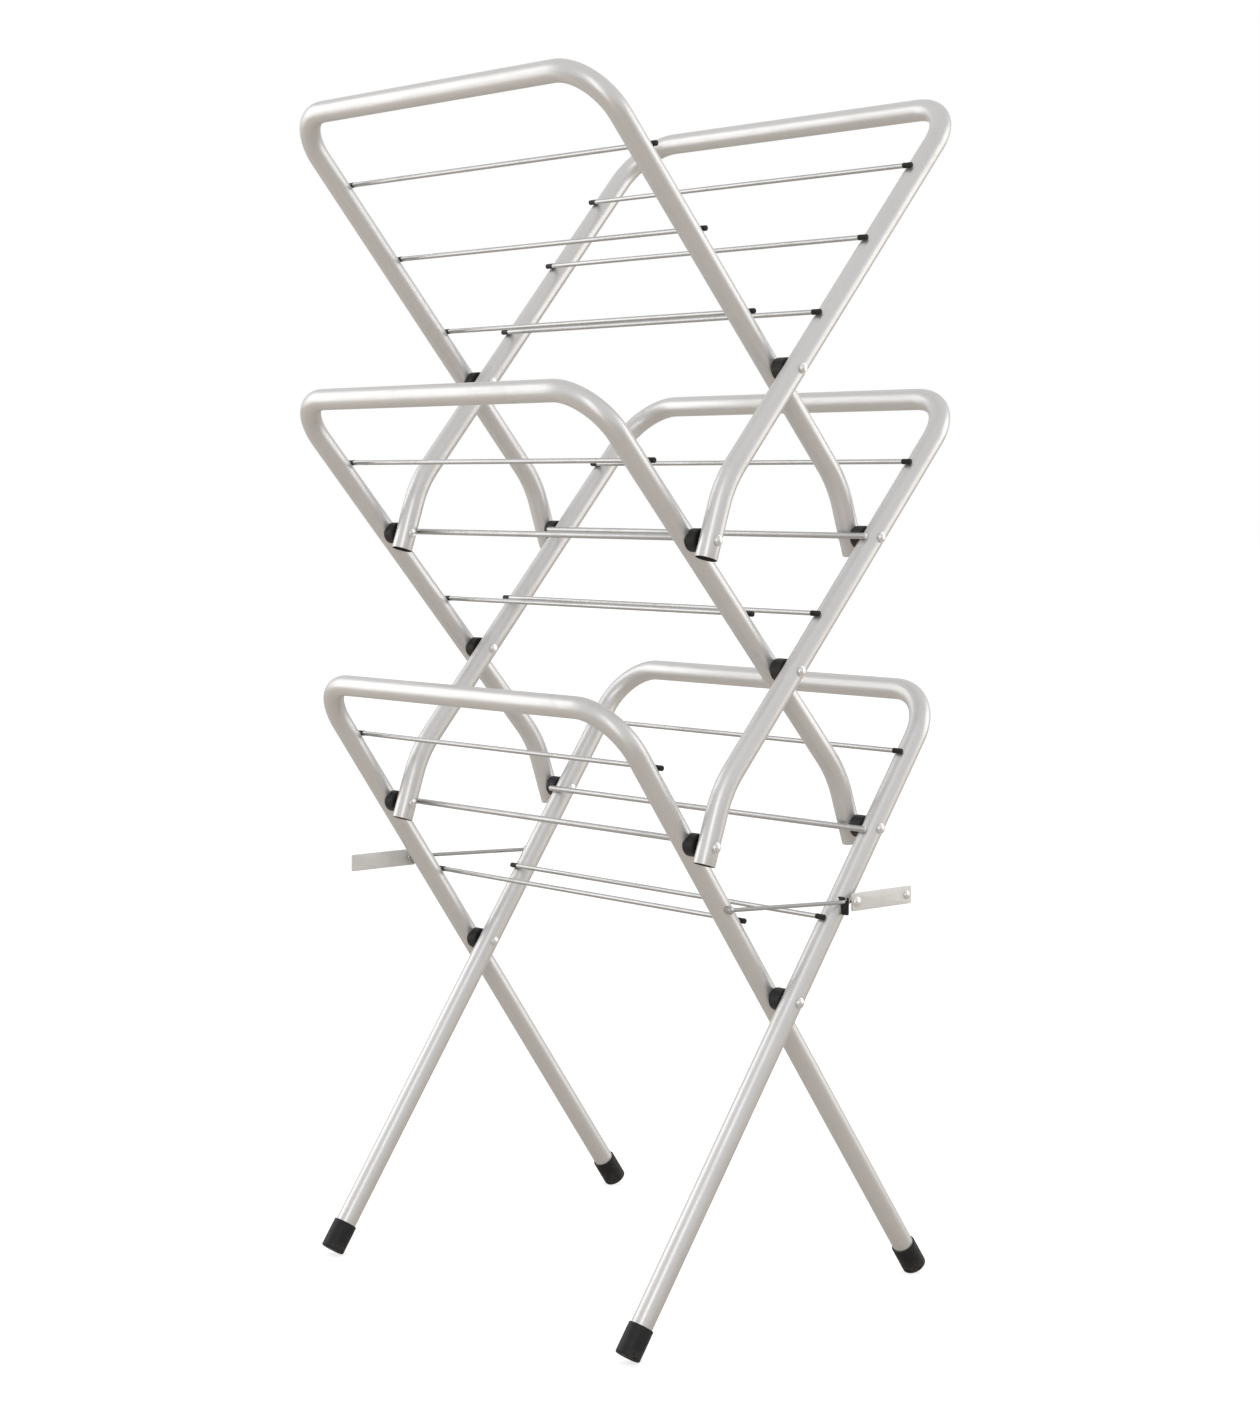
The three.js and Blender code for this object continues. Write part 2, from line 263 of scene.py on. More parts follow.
# dust that thins out with height over the floor: (1 - z / Reach) times a speckle
def buildDustGroup():
    tree, given, result = newGroup(
        "floorDust",
        [("Vector", "NodeSocketVector", None), ("Reach", "NodeSocketFloat", 0.05),
         ("Amount", "NodeSocketFloat", 0.4)],
        [("Mask", "NodeSocketFloat")])
    height = addNode(tree, "SeparateXYZ", {0: given["Vector"]}).outputs["Z"]
    share = maths(tree, "DIVIDE", height, given["Reach"])
    near = spread(tree, share, 0.0, 1.0, 1.0, 0.0)
    speckle = addNode(tree, "TexNoise", {"Vector": given["Vector"], "Scale": 320.0, "Detail": 3.0})
    grains = maths(tree, "MULTIPLY", near, spread(tree, speckle.outputs["Fac"], 0.4, 0.62))
    tree.links.new(maths(tree, "MULTIPLY", grains, given["Amount"]), result["Mask"])
    return tree


skinGroup, streakGroup = buildSkinGroup(), buildStreakGroup()
handlingGroup, dustGroup = buildHandlingGroup(), buildDustGroup()


def place(tree, group, **inputs):
    node = tree.nodes.new("ShaderNodeGroup")
    node.node_tree = group
    for key, value in inputs.items():
        if isinstance(value, bpy.types.NodeSocket):
            tree.links.new(value, node.inputs[key])
        else:
            node.inputs[key].default_value = value
    return node.outputs


# first colour where the mask is 0, second where it is 1
def mixColour(tree, mask, first, second):
    node = addNode(tree, "Mix", {0: mask, 6: first, 7: second}, data_type="RGBA")
    return node.outputs[2]


def rgb(red, green, blue):
    return (red, green, blue, 1.0)


# a material with a Principled BSDF: returns it, its tree and its shader
def newFinish(name, **constants):
    material = bpy.data.materials.new(name)
    material.use_nodes = True
    tree = material.node_tree
    shader = tree.nodes["Principled BSDF"]
    for key, value in constants.items():
        shader.inputs[key.replace("_", " ")].default_value = value
    return material, tree, shader


def bumpInto(tree, shader, height, strength, distance):
    bump = addNode(tree, "Bump", {"Height": height, "Strength": strength, "Distance": distance})
    tree.links.new(bump.outputs["Normal"], shader.inputs["Normal"])


framePaintLook = {
    "base": rgb(0.70, 0.692, 0.682), "flake": rgb(0.728, 0.72, 0.71), "rubbed": rgb(0.63, 0.612, 0.59),
    "metallic": 0.72, "roughness": (0.33, 0.40), "coat": 0.15, "coatRoughness": 0.25,
}


def buildFramePaint(look):
    material, tree, shader = newFinish(
        "framePaint", Metallic=look["metallic"], Coat_Weight=look["coat"],
        Coat_Roughness=look["coatRoughness"])
    place3d = addNode(tree, "TexCoord").outputs["Object"]
    onTube = addNode(tree, "Attribute", attribute_name="along").outputs["Vector"]
    skin = place(tree, skinGroup, Vector=place3d, Scale=1900.0, Coarse=0.5)
    streak = place(tree, streakGroup, Vector=onTube, Scale=420.0, Stretch=0.03)
    marks = place(tree, handlingGroup, Vector=place3d, Scale=11.0, Amount=0.45)
    dust = place(tree, dustGroup, Vector=place3d, Reach=0.16, Amount=0.25)
    flaked = mixColour(tree, skin["Speck"], look["base"], look["flake"])
    worn = mixColour(tree, marks["Mask"], flaked, look["rubbed"])
    dusty = mixColour(tree, dust["Mask"], worn, rgb(0.52, 0.48, 0.42))
    tree.links.new(dusty, shader.inputs["Base Color"])
    smooth = spread(tree, streak["Mask"], 0.0, 1.0, *look["roughness"])
    tree.links.new(maths(tree, "ADD", smooth, maths(tree, "MULTIPLY", marks["Mask"], 0.18)),
                   shader.inputs["Roughness"])
    height = maths(tree, "ADD", skin["Height"], maths(tree, "MULTIPLY", streak["Height"], 0.5))
    bumpInto(tree, shader, height, 0.012, 0.0002)
    return material


brightWireLook = {"base": rgb(0.52, 0.52, 0.515), "dull": rgb(0.43, 0.425, 0.41), "roughness": (0.17, 0.28)}
stopSteelLook = {"base": rgb(0.56, 0.56, 0.555), "dull": rgb(0.46, 0.45, 0.435), "roughness": (0.26, 0.38)}
rivetSteelLook = {"base": rgb(0.84, 0.84, 0.83), "dull": rgb(0.66, 0.65, 0.63), "roughness": (0.2, 0.32)}


# bright plated wire: drawn lines along X, dull where it was handled
def buildBrightWire(look, name, stretch):
    material, tree, shader = newFinish(name, Metallic=1.0)
    place3d = addNode(tree, "TexCoord").outputs["Object"]
    turnedWay = addNode(tree, "Mapping", {"Vector": place3d, "Rotation": (0.0, math.pi / 2, 0.0)}).outputs[0]
    streak = place(tree, streakGroup, Vector=turnedWay, Scale=1600.0, Stretch=stretch)
    marks = place(tree, handlingGroup, Vector=place3d, Scale=24.0, Amount=0.55)
    tree.links.new(mixColour(tree, marks["Mask"], look["base"], look["dull"]), shader.inputs["Base Color"])
    smooth = spread(tree, streak["Mask"], 0.0, 1.0, *look["roughness"])
    tree.links.new(maths(tree, "ADD", smooth, maths(tree, "MULTIPLY", marks["Mask"], 0.2)),
                   shader.inputs["Roughness"])
    bumpInto(tree, shader, streak["Height"], 0.04, 0.0002)
    return material


blackPlasticLook = {
    "base": rgb(0.008, 0.008, 0.009), "pale": rgb(0.020, 0.019, 0.018), "roughness": (0.46, 0.6),
}


# moulded plastic: fine pitted skin, paler rubbed patches and a little dust near the floor
def buildBlackPlastic(look):
    material, tree, shader = newFinish("blackPlastic", Specular_IOR_Level=0.35)
    place3d = addNode(tree, "TexCoord").outputs["Object"]
    skin = place(tree, skinGroup, Vector=place3d, Scale=2400.0, Coarse=0.5)
    marks = place(tree, handlingGroup, Vector=place3d, Scale=60.0, Amount=0.8)
    dust = place(tree, dustGroup, Vector=place3d, Reach=0.02, Amount=0.35)
    worn = mixColour(tree, marks["Mask"], look["base"], look["pale"])
    tree.links.new(mixColour(tree, dust["Mask"], worn, rgb(0.20, 0.18, 0.16)), shader.inputs["Base Color"])
    tree.links.new(spread(tree, skin["Speck"], 0.0, 1.0, *look["roughness"]), shader.inputs["Roughness"])
    bumpInto(tree, shader, skin["Height"], 0.25, 0.0003)
    return material


strapPaintLook = {"base": rgb(0.73, 0.725, 0.70), "flake": rgb(0.77, 0.765, 0.745), "roughness": (0.36, 0.5)}


def buildStrapPaint(look):
    material, tree, shader = newFinish("strapPaint", Metallic=0.25)
    place3d = addNode(tree, "TexCoord").outputs["Object"]
    skin = place(tree, skinGroup, Vector=place3d, Scale=1300.0, Coarse=0.8)
    marks = place(tree, handlingGroup, Vector=place3d, Scale=45.0, Amount=0.5)
    flaked = mixColour(tree, skin["Speck"], look["base"], look["flake"])
    tree.links.new(mixColour(tree, marks["Mask"], flaked, rgb(0.62, 0.61, 0.58)), shader.inputs["Base Color"])
    tree.links.new(spread(tree, skin["Speck"], 0.0, 1.0, *look["roughness"]), shader.inputs["Roughness"])
    bumpInto(tree, shader, skin["Height"], 0.12, 0.0003)
    return material


# bare steel inside the tubes: uneven, with drawn lines; its near-black colour is painted shade of the bore
def buildTubeInside():
    material, tree, shader = newFinish("tubeInsideAndShade", Metallic=0.6)
    place3d = addNode(tree, "TexCoord").outputs["Object"]
    onTube = addNode(tree, "Attribute", attribute_name="along").outputs["Vector"]
    streak = place(tree, streakGroup, Vector=onTube, Scale=700.0, Stretch=0.05)
    marks = place(tree, handlingGroup, Vector=place3d, Scale=80.0, Amount=0.9)
    # painted shade: the base colours are kept near black to stand for the shade inside the tube, not the
    # steel's own colour
    base = mixColour(tree, streak["Mask"], rgb(0.03, 0.029, 0.028), rgb(0.055, 0.053, 0.05))
    tree.links.new(mixColour(tree, marks["Mask"], base, rgb(0.07, 0.05, 0.04)), shader.inputs["Base Color"])
    tree.links.new(spread(tree, streak["Mask"], 0.0, 1.0, 0.5, 0.7), shader.inputs["Roughness"])
    return material


framePaint = buildFramePaint(framePaintLook)
brightWire = buildBrightWire(brightWireLook, "brightWire", 0.03)
stopSteel = buildBrightWire(stopSteelLook, "stopSteel", 0.04)
rivetSteel = buildBrightWire(rivetSteelLook, "rivetSteel", 0.6)
blackPlastic = buildBlackPlastic(blackPlasticLook)
strapPaint = buildStrapPaint(strapPaintLook)
tubeInsideAndShade = buildTubeInside()
print("finishes ready")

# ---- where things are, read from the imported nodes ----

tiers = ("low", "mid", "top")
outerX = centreOf("foot_cap_front_near")[0]  # outer leg of a rear frame; a front frame is its half turn
innerX = centreOf("foot_cap_front_far")[0]
xAxis = np.array([1.0, 0.0, 0.0])


# a rear frame's leg line: crossing point and unit direction up the leg, at x = 0
def legLine(tier):
    upper, lower = centreOf(tier + "_rear_rod_1"), centreOf(tier + "_rear_rod_3")
    way = unit((upper - lower) * (0, 1, 1))
    crossing = centreOf(tier + "_near_rivet") * (0, 1, 1)
    return crossing, way


def onLeg(tier, distance, x):
    crossing, way = legLine(tier)
    return crossing + way * distance + xAxis * x


# ---- tube frames ----

tube = {
    "radius": 0.0125, "wall": 0.0008, "lip": 0.00035, "sides": 56, "bend": 0.062, "bendSteps": 18,
    "upper": {"low": 0.408, "mid": 0.403, "top": 0.403}, "lower": 0.4266,
    "kink": 0.164, "kinkRadius": 0.13, "kinkSteps": 8, "tailEnd": 0.0205, "runStep": 0.03,
}


# centreline of a rear frame: far end, up the far leg, along the bar, down the near leg to its end
def frameLine(tier):
    top = tube["upper"][tier]
    corners, radii = [onLeg(tier, top, innerX), onLeg(tier, top, outerX)], [tube["bend"]] * 2
    if tier == "low":
        return roundedPath([onLeg(tier, -tube["lower"], innerX), *corners,
                            onLeg(tier, -tube["lower"], outerX)], radii, tube["bendSteps"], tube["runStep"])
    below = tiers[tiers.index(tier) - 1]
    pin = centreOf(below + "_front_pin_near") * (0, 1, 1)
    kink = onLeg(tier, -tube["kink"], 0)
    end = pin + unit(pin - kink) * tube["tailEnd"]
    corners = [end + xAxis * innerX, kink + xAxis * innerX, *corners,
               kink + xAxis * outerX, end + xAxis * outerX]
    bends = [tube["kinkRadius"], *radii, tube["kinkRadius"]]
    return roundedPath(corners, bends, tube["bendSteps"], tube["runStep"])


# hollow tube: outer rings, rounded mouth, inner rings back again, rounded mouth, all one closed grid;
# the mouths follow radius = wall middle + e cos q, depth = e sin q
def hollowTube(line, reference):
    outer, wall, lip = tube["radius"], tube["wall"], tube["lip"]
    q = np.radians([0, 30, 60, 90])
    shrink, reach = lip * (1 - np.cos(q)), lip * (1 - np.sin(q))
    first, last = unit(line[1] - line[0]), unit(line[-1] - line[-2])
    head = line[0] + first * reach[::-1][:, None]
    tail = line[-1] - last * reach[:, None]
    path = np.concatenate([head, line[1:-1], tail])
    cut = np.concatenate([shrink[::-1], np.zeros(len(line) - 2), shrink])
    outside = ringsAlong(path, outer - cut, reference, tube["sides"])
    inside = ringsAlong(path, outer - wall + cut, reference, tube["sides"])[::-1]
    grid = np.concatenate([outside, inside])
    run = np.concatenate([[0], np.cumsum(np.linalg.norm(np.diff(path, axis=0), axis=1))])
    a = np.linspace(0, 2 * math.pi, tube["sides"], endpoint=False)
    rows = np.concatenate([run, run[::-1]])[:, None]
    along = np.stack([outer * np.cos(a) + 0 * rows, outer * np.sin(a) + 0 * rows, rows + 0 * a], -1)
    isInside = np.arange(len(grid)) >= len(outside)
    faceInside = np.repeat(isInside, tube["sides"])
    return (grid.reshape(-1, 3), gridFaces(len(grid), tube["sides"], True)), along.reshape(-1, 3), faceInside


for tier in tiers:
    normal = np.cross(legLine(tier)[1], xAxis)
    shape, along, inside = hollowTube(frameLine(tier), normal)
    for node, turn in ((tier + "_rear_frame", False), (tier + "_front_frame", True)):
        addPiece(node, halfTurn(shape) if turn else shape, [framePaint, tubeInsideAndShade],
                 lambda middles: inside, along)
print("tube frames made")

# ---- rods and rivets ----

rod = {"radius": 0.0029, "cap": 0.0033, "capLength": 0.012, "stopBar": 0.0035, "edge": 0.0007, "sides": 24}
dome = {
    "radius": 0.006, "washer": 0.0009, "rise": 0.0032, "shank": 0.003, "innerShare": 0.9,
    "innerRise": 0.0016, "innerWasher": 0.0006, "sides": 28,
}


# half of a round head from its foot at x0 outwards (way is +1 or -1): a thin washer, then a crown
# r = R cos q, x = x0 + washer + rise sin q
def headRows(x0, way, radius, rise, washer):
    q = np.radians([0, 18, 36, 54, 70, 84])
    crown = np.stack([x0 + way * (washer + (rise - washer) * np.sin(q)), 0.86 * radius * np.cos(q)], -1)
    edge = [[x0, radius * 0.9], [x0 + way * washer * 0.25, radius], [x0 + way * washer * 0.8, radius],
            [x0 + way * washer, radius * 0.95]]
    return np.concatenate([edge, crown])


# rounded end of a bar from its end at x inwards: x + way e (1 - sin q), r - e (1 - cos q)
def endRows(x, way, radius, edge):
    q = np.radians([90, 60, 30, 0])
    return np.stack([x + way * edge * (1 - np.sin(q)), radius - edge * (1 - np.cos(q))], -1)


# hanging rod of a rear frame: a plain bar with a dark cap drawn over each end, flared a little at its mouth
def plainRod(node):
    low, high = lowHigh(node)
    r, cap, length, edge = rod["radius"], rod["cap"], rod["capLength"], rod["edge"]
    mouth = np.array([[length - 0.0022, cap * 0.95], [length - 0.0018, cap], [length - 0.0003, cap],
                      [length, cap * 0.97], [length, r]])
    start, stop = endRows(low[0], 1, cap * 0.95, edge), endRows(high[0], -1, cap * 0.95, edge)
    rows = [*start, *(mouth + (low[0], 0)), *((mouth * (-1, 1) + (high[0], 0))[::-1]), *stop[::-1]]
    return turned(rows, centreOf(node), rod["sides"]), (low[0] + length + 1e-5, high[0] - length - 1e-5)


# bare stop bar of a rear frame
def stopBar(node):
    low, high = lowHigh(node)
    start, stop = (endRows(x, way, rod["stopBar"], rod["edge"]) for x, way in ((low[0], 1), (high[0], -1)))
    return turned([*start, *stop[::-1]], centreOf(node), rod["sides"])


# rivet with a flat inner head and a domed outer one; a far rivet is the mirror image of a near one
def throughRivet(node, isFar=False):
    low, high = lowHigh(node)
    first, last = (-high[0], -low[0]) if isFar else (low[0], high[0])
    rise, shank, innerRise = dome["rise"], dome["shank"], dome["innerRise"]
    innerRadius = dome["radius"] * dome["innerShare"]
    left = headRows(first + innerRise, -1, innerRadius, innerRise, dome["innerWasher"])[::-1]
    right = headRows(last - rise, 1, dome["radius"], rise, dome["washer"])
    rows = np.array([*left, [first + innerRise, shank], [last - rise, shank], *right])
    if isFar:
        rows = rows[::-1] * (-1, 1)
    return turned(rows, centreOf(node), dome["sides"])


for tier in tiers:
    for number in (1, 2, 3):
        rear, front = f"{tier}_rear_rod_{number}", f"{tier}_front_rod_{number}"
        if number == 2 and tier != "top":
            shape = stopBar(rear)
            addPiece(rear, shape, [stopSteel])
            addPiece(front, halfTurn(shape), [stopSteel])
            continue
        shape, (leftMouth, rightMouth) = plainRod(rear)
        dark = lambda x: (x < leftMouth) | (x > rightMouth)
        addPiece(rear, shape, [brightWire, blackPlastic], lambda m: dark(m[:, 0]))
        addPiece(front, halfTurn(shape), [brightWire, blackPlastic], lambda m: dark(-m[:, 0]))
    shape = throughRivet(tier + "_near_rivet")
    addPiece(tier + "_near_rivet", shape, [rivetSteel])
    addPiece(tier + "_far_rivet", halfTurn(shape), [rivetSteel])
print("rods and rivets made")

# ---- spacers ----

spacer = {"radius": 0.013, "bore": 0.0034, "edge": 0.0014, "clear": 0.0003, "lipDepth": 0.004, "sides": 64}


# spacer on the -X side of the tube at carrierX, round its pin at centre: flat face rows, then the rim,
# then the saddle x = carrierX - max(lip, sqrt(R^2 - h^2)) with h = r sin(angle from the leg)
def saddleSpacer(node, tier, carrierX):
    centre, way = centreOf(node), legLine(tier)[1]
    flatX = carrierX - (outerX + innerX - tube["radius"] - spacer["clear"])
    across = np.cross(xAxis, way)
    a = np.linspace(0, 2 * math.pi, spacer["sides"], endpoint=False)
    radius, edge, bore = spacer["radius"], spacer["edge"], spacer["bore"]
    q = np.radians([0, 30, 60, 90])
    flat, rim = np.linspace(bore, radius - edge, 5), np.linspace(0, 1, 4)
    lip = tube["radius"] - spacer["lipDepth"]
    hug = tube["radius"] + spacer["clear"]

    def saddle(r):
        h = r[:, None] * np.sin(a)[None]
        bed = np.sqrt(np.maximum(hug ** 2 - h ** 2, 0))
        return carrierX - np.sqrt(lip ** 2 + 0.5 * ((bed ** 2 - lip ** 2) + np.abs(bed ** 2 - lip ** 2)))

    frontX = flatX + edge * (1 - np.sin(q[::-1]))
    frontR = radius - edge * (1 - np.cos(q[::-1]))
    backR = np.concatenate([radius - edge * (1 - np.cos(q)), flat[::-1][1:]])
    backX = saddle(backR)
    backX[:4] -= (edge * np.cos(q))[:, None]
    faceX = np.full((len(flat) - 1, len(a)), flatX)
    sideX = np.broadcast_to(frontX[:, None], (4, len(a)))
    x = np.concatenate([faceX, sideX, backX])
    r = np.concatenate([flat[:-1], frontR, backR])
    spoke = way[None] * np.cos(a)[:, None] + across[None] * np.sin(a)[:, None]
    grid = xAxis * x[..., None] + centre * (0, 1, 1) + spoke[None] * r[:, None, None]
    faces = [face[::-1] for face in gridFaces(len(grid), len(a), True)]
    return grid.reshape(-1, 3), faces


for tier in tiers:
    shape = saddleSpacer(tier + "_near_spacer", tier, outerX)
    addPiece(tier + "_near_spacer", shape, [blackPlastic])
    addPiece(tier + "_far_spacer", halfTurn(shape), [blackPlastic])
    if tier == "top":
        continue
    for near, far, carrier, isFar in ((f"{tier}_rear_pin_near", f"{tier}_front_pin_far", outerX, False),
                                      (f"{tier}_rear_pin_far", f"{tier}_front_pin_near", innerX, True)):
        ringShape = saddleSpacer(near, tier, carrier)
        shape = joined(ringShape, throughRivet(near, isFar))
        isRivet = np.arange(len(shape[1])) >= len(ringShape[1])
        addPiece(near, shape, [blackPlastic, rivetSteel], lambda m: isRivet)
        addPiece(far, halfTurn(shape), [blackPlastic, rivetSteel], lambda m: isRivet)
print("spacers made")

# ---- foot caps ----

footCap = {"radius": 0.0145, "length": 0.036, "floor": 0.004, "edge": 0.0022, "sides": 72}


# cup on the end of a leg, a profile (distance along the leg, radius) turned about the leg and
# flattened by z = max(z, 0) where it stands on the floor
def cup(x):
    foot, way = onLeg("low", -0.431, x), legLine("low")[1]
    radius, length, edge = footCap["radius"], footCap["length"], footCap["edge"]
    inner = tube["radius"] + 0.0003
    corners = [(0, 0.0006), (0, radius), (length, radius), (length, inner), (footCap["floor"], inner),
               (footCap["floor"], 0.0006)]
    profile = roundedPath(corners, [edge, 0.0007, 0.0004, 0.001], 5, 0.003)
    along, r = profile.T
    onSide = (r > radius - 1e-6) & (along > edge)
    beads = 0.00035 * np.exp(-((along - length + 0.0045) / 0.0011) ** 2)
    r = np.where(onSide, r - beads, r)
    across = np.cross(xAxis, way)
    a = np.linspace(0, 2 * math.pi, footCap["sides"], endpoint=False)
    spoke = across[None] * np.sin(a)[:, None] + xAxis[None] * np.cos(a)[:, None]
    grid = foot + way * along[:, None, None] + spoke[None] * r[:, None, None]
    grid[..., 2] = np.maximum(grid[..., 2], 0)
    return closedGrid(grid)


for front, rear, x in (("foot_cap_front_near", "foot_cap_rear_far", outerX),
                       ("foot_cap_front_far", "foot_cap_rear_near", innerX)):
    shape = cup(x)
    addPiece(front, shape, [blackPlastic])
    addPiece(rear, halfTurn(shape), [blackPlastic])
print("foot caps made")

# ---- locking stays ----

stay = {
    "pivot": 0.131, "wire": 0.0024, "eye": 0.005, "strapThick": 0.0024, "strapEdge": 0.0005,
    "strapCorner": 0.0016, "rivets": ((0.007, 0.006), (0.008, 0.005)), "rivetRise": 0.0026,
    "slotDepth": 0.008, "lipOut": 0.0038, "catchInset": 0.0008, "sides": 20,
}


# the far stay's wire: a round pivot head on the leg, and a wire out to its strap with rounded ends
def stayWire():
    low, high = lowHigh("stay_far_wire")
    pivot = onLeg("low", stay["pivot"], 0)
    face = innerX - tube["radius"] - 0.0003
    r = stay["wire"]
    head = headRows(face - 0.0036, -1, stay["eye"], 0.0028, 0.0002)[::-1]
    rows = [*head, [face - 0.0033, stay["eye"]], [face, stay["eye"]], [face, 0.0025], [innerX - 0.002, 0.0025],
            [innerX - 0.002, 0.0004]]
    eye = turned(rows, pivot, 28)
    lineX = low[0] + r
    start = np.array([face - 0.0026, pivot[1], pivot[2]])
    over = np.array([lineX, -pivot[1] + 0.016, pivot[2]])
    end = np.array([lineX, low[1] + 0.0001, pivot[2]])
    line = roundedPath([start, over, end], [0.04], 8, 0.01)
    q = np.radians([0, 30, 60, 85])
    line = np.concatenate([line[:-1], end + (0, 1, 0) * (r * (1 - np.sin(q)))[:, None]])
    radii = np.concatenate([np.full(len(line) - 4, r), r * np.cos(q)])
    return joined(eye, closedGrid(ringsAlong(line, radii, np.array([0, 0, 1.0]), stay["sides"])))


# the far stay's strap: a flat plate with small round corners in (y, z). Its edges are rounded by rings
# inset by e (1 - sin w) at depth e (1 - cos w), and a domed rivet sits near each end
def stayStrap():
    low, high = lowHigh("stay_far_strap")
    edge, corner = stay["strapEdge"], stay["strapCorner"]
    outX, inX = high[0] - stay["strapThick"], high[0]
    corners = [(high[1], low[2]), (high[1], high[2]), (low[1], high[2]), (low[1], low[2])]
    start = ((low[1] + high[1]) / 2, low[2])
    outline = roundedPath([start, *corners, start], [corner] * 4, 5, 0.02)[:-1]
    middle = np.array([(low[1] + high[1]) / 2, (low[2] + high[2]) / 2])
    half = (high[1:] - low[1:]) / 2
    w = np.radians([0, 30, 60, 90])
    inset = np.concatenate([edge * (1 - np.sin(w)), edge * (1 - np.sin(w[::-1]))])
    xs = np.concatenate([inX - edge * (1 - np.cos(w)), outX + edge * (1 - np.cos(w[::-1]))])
    shrink = 1 - inset[:, None, None] / half
    ringYZ = middle + (outline - middle) * shrink
    plate = closedGrid(np.concatenate([np.broadcast_to(xs[:, None, None], (*ringYZ.shape[:2], 1)), ringYZ], -1))
    (backFirst, wide), (frontFirst, narrow) = stay["rivets"]
    heads = []
    for y, radius in ((high[1] - backFirst, wide), (low[1] + frontFirst, narrow)):
        rows = [*headRows(outX, -1, radius, stay["rivetRise"], 0.0006)[::-1], [outX, 0.003],
                [inX - 0.0004, 0.003], [inX - 0.0004, 0.0004]]
        heads.append(turned(rows, np.array([0, y, middle[1]]), 32))
    return plate, heads


# catch on the near leg: a hook-shaped outline in (x, z) carried along y, its ends a little smaller
def stayCatch():
    low, high = lowHigh("stay_near_catch")
    rail, clear = high[0] - stay["lipOut"], stay["wire"] + 0.0003
    slotFloor = high[2] - stay["slotDepth"]
    corners = [(low[0], low[2]), (high[0], low[2]), (high[0], high[2]), (rail + clear, high[2]),
               (rail + clear, slotFloor), (rail - clear, slotFloor), (rail - clear, high[2]),
               (low[0], high[2])]
    radii = [0.0012, 0.0004, 0.0004, 0.001, 0.001, 0.0006, 0.0004]
    outline = roundedPath([*corners, corners[0]], radii, 3, 1.0)[:-1]
    back, front = low[1] + stay["catchInset"], high[1] - stay["catchInset"]
    ys = np.array([back, back + 0.0004, front - 0.0004, front])
    middle = outline.mean(0)
    scale = np.array([0.95, 1, 1, 0.95])[:, None, None]
    ringXZ = middle + (outline - middle)[None] * scale
    grid = np.stack([ringXZ[..., 0], np.broadcast_to(ys[:, None], ringXZ.shape[:2]), ringXZ[..., 1]], -1)
    return grid, outline


plate, heads = stayStrap()
wireShape = stayWire()
addPiece("stay_far_wire", wireShape, [brightWire])
addPiece("stay_near_wire", halfTurn(wireShape), [brightWire])
strapShape = joined(plate, *heads)
headStart = len(plate[1])
isHead = np.arange(len(strapShape[1])) >= headStart
addPiece("stay_far_strap", strapShape, [strapPaint, rivetSteel], lambda m: isHead)
addPiece("stay_near_strap", halfTurn(strapShape), [strapPaint, rivetSteel], lambda m: isHead)
grid, outline = stayCatch()
rows, columns = grid.shape[:2]
ends = [list(range(columns)), [(rows - 1) * columns + i for i in range(columns)][::-1]]
catchFaces = [face[::-1] for face in gridFaces(rows, columns)] + ends
catchShape = (grid.reshape(-1, 3), catchFaces)
addPiece("stay_near_catch", catchShape, [blackPlastic])
addPiece("stay_far_catch", halfTurn(catchShape), [blackPlastic])
print("stays made")

# ---- floor, light and camera ----

studio = {
    "floorSize": 60.0, "floorSeen": rgb(0.5, 0.5, 0.5), "floorMirrored": rgb(0.60, 0.555, 0.505),
    "floorGlow": 0.71,
    "sky": rgb(1.0, 1.0, 1.0), "skyMirrored": rgb(0.78, 0.778, 0.782),
    "camera": (2.472, -2.131, 0.942), "yaw": 0.8558, "pitch": 0.0799, "lens": 70.56,
}


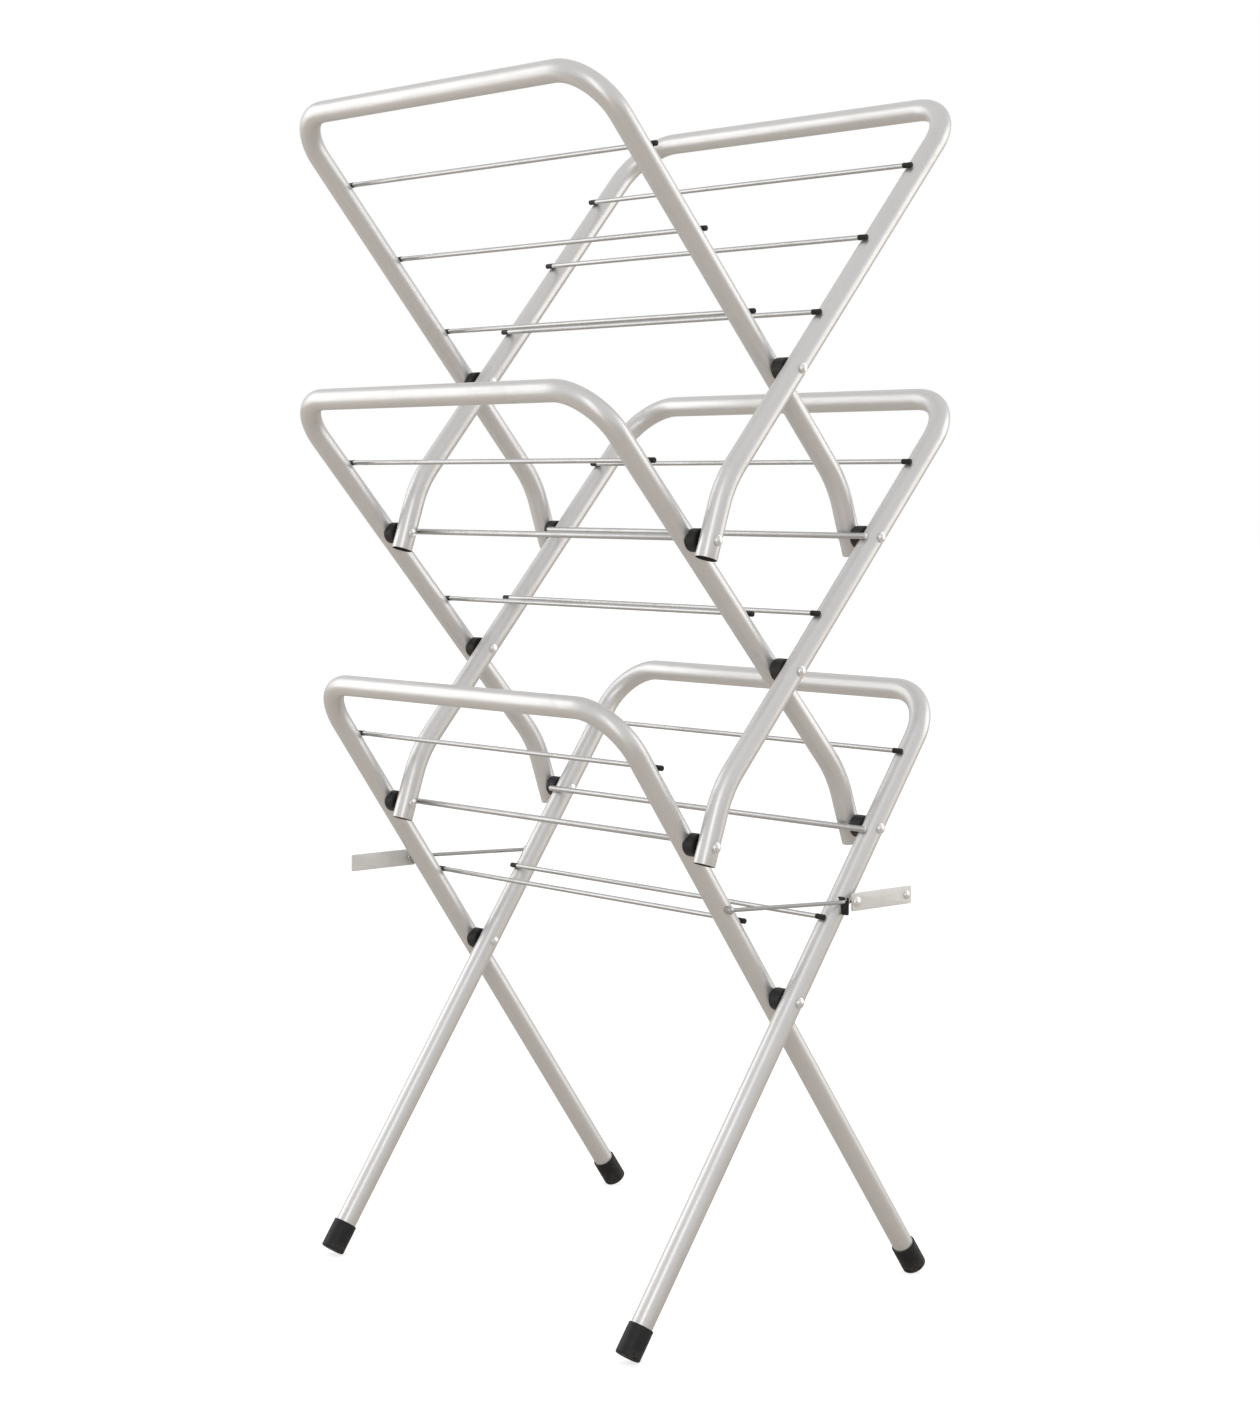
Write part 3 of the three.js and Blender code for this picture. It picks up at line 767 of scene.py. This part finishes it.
def buildFloor():
    size = studio["floorSize"] / 2
    t = np.linspace(-size, size, 9)
    x, y = np.meshgrid(t, t)
    points = np.stack([x, y, np.full_like(x, -0.0002)], -1).reshape(-1, 3)
    i, j = np.meshgrid(np.arange(8), np.arange(8))
    first = (j * 9 + i).ravel()
    quads = np.stack([first, first + 1, first + 10, first + 9], -1).tolist()
    mesh = bpy.data.meshes.new("floor")
    mesh.from_pydata(points.tolist(), [], quads)
    material, tree, shader = newFinish("floorPaper", Roughness=0.9, Specular_IOR_Level=0.1)
    seen = addNode(tree, "LightPath").outputs["Is Camera Ray"]
    tree.links.new(mixColour(tree, seen, studio["floorMirrored"], studio["floorSeen"]),
                   shader.inputs["Base Color"])
    tree.links.new(maths(tree, "MULTIPLY", seen, studio["floorGlow"]), shader.inputs["Emission Strength"])
    shader.inputs["Emission Color"].default_value = rgb(1, 1, 1)
    mesh.materials.append(material)
    floor = bpy.data.objects.new("floor", mesh)
    bpy.context.scene.collection.objects.link(floor)


def buildWorld():
    world = bpy.data.worlds.new("studioAir")
    bpy.context.scene.world = world
    world.use_nodes = True
    tree = world.node_tree
    tree.nodes.clear()
    seen = addNode(tree, "LightPath").outputs["Is Camera Ray"]
    colour = mixColour(tree, seen, studio["skyMirrored"], studio["sky"])
    air = addNode(tree, "Background", {"Color": colour, "Strength": 1.0})
    tree.links.new(air.outputs[0], tree.nodes.new("ShaderNodeOutputWorld").inputs[0])


# soft box aimed at a point: placed by its compass angle from the camera side, distance and height
def softBox(name, angle, distance, height, width, tall, power, tint=(1, 1, 1)):
    light = bpy.data.lights.new(name, "AREA")
    light.shape, light.size, light.size_y, light.energy, light.color = "RECTANGLE", width, tall, power, tint
    holder = bpy.data.objects.new(name, light)
    yaw = studio["yaw"] + math.radians(angle)
    spot = np.array([math.sin(yaw) * distance, -math.cos(yaw) * distance, height])
    aim = np.array([0, 0, 0.7]) - spot
    flat = math.hypot(aim[0], aim[1])
    holder.location = spot
    holder.rotation_euler = (math.pi / 2 + math.atan2(aim[2], flat), 0, math.atan2(-aim[0], aim[1]))
    bpy.context.scene.collection.objects.link(holder)


def buildCamera():
    camera = bpy.data.cameras.new("camera")
    camera.lens, camera.sensor_width = studio["lens"], 36.0
    holder = bpy.data.objects.new("camera", camera)
    holder.location = studio["camera"]
    holder.rotation_euler = (math.pi / 2 - studio["pitch"], 0, studio["yaw"])
    bpy.context.scene.collection.objects.link(holder)
    bpy.context.scene.camera = holder


buildFloor()
buildWorld()
softBox("keyStrip", -12, 3.6, 1.7, 0.9, 3.2, 18)
softBox("leftWall", -105, 3.2, 1.6, 2.2, 3.0, 24)
softBox("rightWall", 100, 3.4, 1.4, 2.4, 3.0, 26, (1.0, 0.99, 0.975))
buildCamera()
bpy.context.scene.view_settings.view_transform = "Standard"
print("studio ready")
